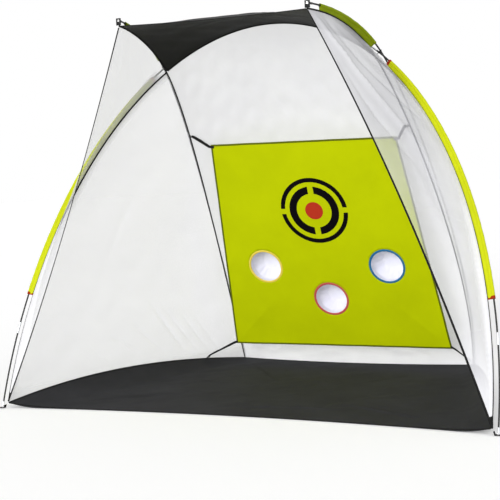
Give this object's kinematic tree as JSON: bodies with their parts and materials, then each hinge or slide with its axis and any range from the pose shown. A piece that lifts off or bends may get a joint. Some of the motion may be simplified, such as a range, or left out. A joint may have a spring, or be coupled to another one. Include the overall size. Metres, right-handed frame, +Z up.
{
  "type": "golf chipping net",
  "caption": "Free-standing practice net on bowed poles, with a hanging bullseye target that swings and holds ball pockets.",
  "frame": {"origin": "middle of the footprint's bounding box, on the ground", "axes": "+X to the golfer's right across the mouth, +Y from the mouth into the net, +Z up"},
  "size_m": [3.074, 1.998, 2.2383],
  "materials": {
    "pole_tube": "smooth pultruded tube",
    "ferrule_metal": "drawn",
    "black_plastic": "moulded",
    "shock_cord": "braided elastic",
    "roof_cloth": "coated plain weave",
    "floor_cloth": "coated plain weave",
    "mesh": "fine knitted mesh",
    "sleeve_bright": "plain weave",
    "sleeve_grey": "plain weave",
    "sleeve_olive": "plain weave",
    "binding_tape": "woven tape",
    "webbing": "woven webbing",
    "grommet_metal": "plated",
    "target_cloth": "plain weave",
    "target_hem_cloth": "folded hem",
    "rim_yellow": "satin",
    "rim_red": "satin",
    "rim_blue": "satin",
    "pocket_mesh": "knitted mesh"
  },
  "bodies": {
    "frame_and_net": {"hoop_sections_left": "pole_tube", "hoop_sections_top": "pole_tube", "hoop_sections_right": "pole_tube", "side_sections_left": "pole_tube", "side_sections_right": "pole_tube", "hoop_ferrules": "ferrule_metal", "side_ferrules_left": "ferrule_metal", "side_ferrules_right": "ferrule_metal", "hoop_shock_cord": "shock_cord", "side_shock_cord_left": "shock_cord", "side_shock_cord_right": "shock_cord", "hoop_foot_tips": "ferrule_metal", "side_foot_tips": "ferrule_metal", "side_front_tips": "black_plastic", "canopy": "roof_cloth", "floor_sheet": "floor_cloth", "back_net": "mesh", "front_net_left": "mesh", "front_net_right": "mesh", "side_net_left": "mesh", "side_net_right": "mesh", "hoop_sleeve_left": "sleeve_bright", "hoop_sleeve_right": "sleeve_bright", "top_sleeve": "sleeve_grey", "side_sleeve_left": "sleeve_olive", "side_sleeve_right": "sleeve_olive", "hoop_seam_left": "binding_tape", "hoop_seam_right": "binding_tape", "roof_seam": "binding_tape", "rear_seam_left": "binding_tape", "rear_seam_right": "binding_tape", "front_hem_left": "binding_tape", "front_hem_right": "binding_tape", "canopy_hem": "binding_tape", "floor_edging": "binding_tape", "front_corner_tabs": "webbing", "rear_corner_tabs": "webbing", "front_tip_tabs": "webbing", "pole_tip_grommets": "grommet_metal", "stake_eyelets": "grommet_metal", "crossing_ties": "shock_cord", "upper_rings": "black_plastic", "lower_strap_left": "webbing", "lower_strap_right": "webbing", "lower_hooks": "black_plastic"},
    "target": {"target_sheet": "target_cloth", "target_hem": "target_hem_cloth", "pocket_rim_left": "rim_yellow", "pocket_rim_middle": "rim_red", "pocket_rim_right": "rim_blue", "pocket_net_left": "pocket_mesh", "pocket_net_middle": "pocket_mesh", "pocket_net_right": "pocket_mesh", "upper_strap_left": "webbing", "upper_strap_right": "webbing", "upper_hooks": "black_plastic"}
  },
  "joints": [
    {"name": "target_swing", "type": "hinge", "parent": "frame_and_net", "child": "target", "pos_m": [0, 0.08474, 1.56454], "axis": [1, 0, 0], "range_deg": [0, 3]}
  ]
}
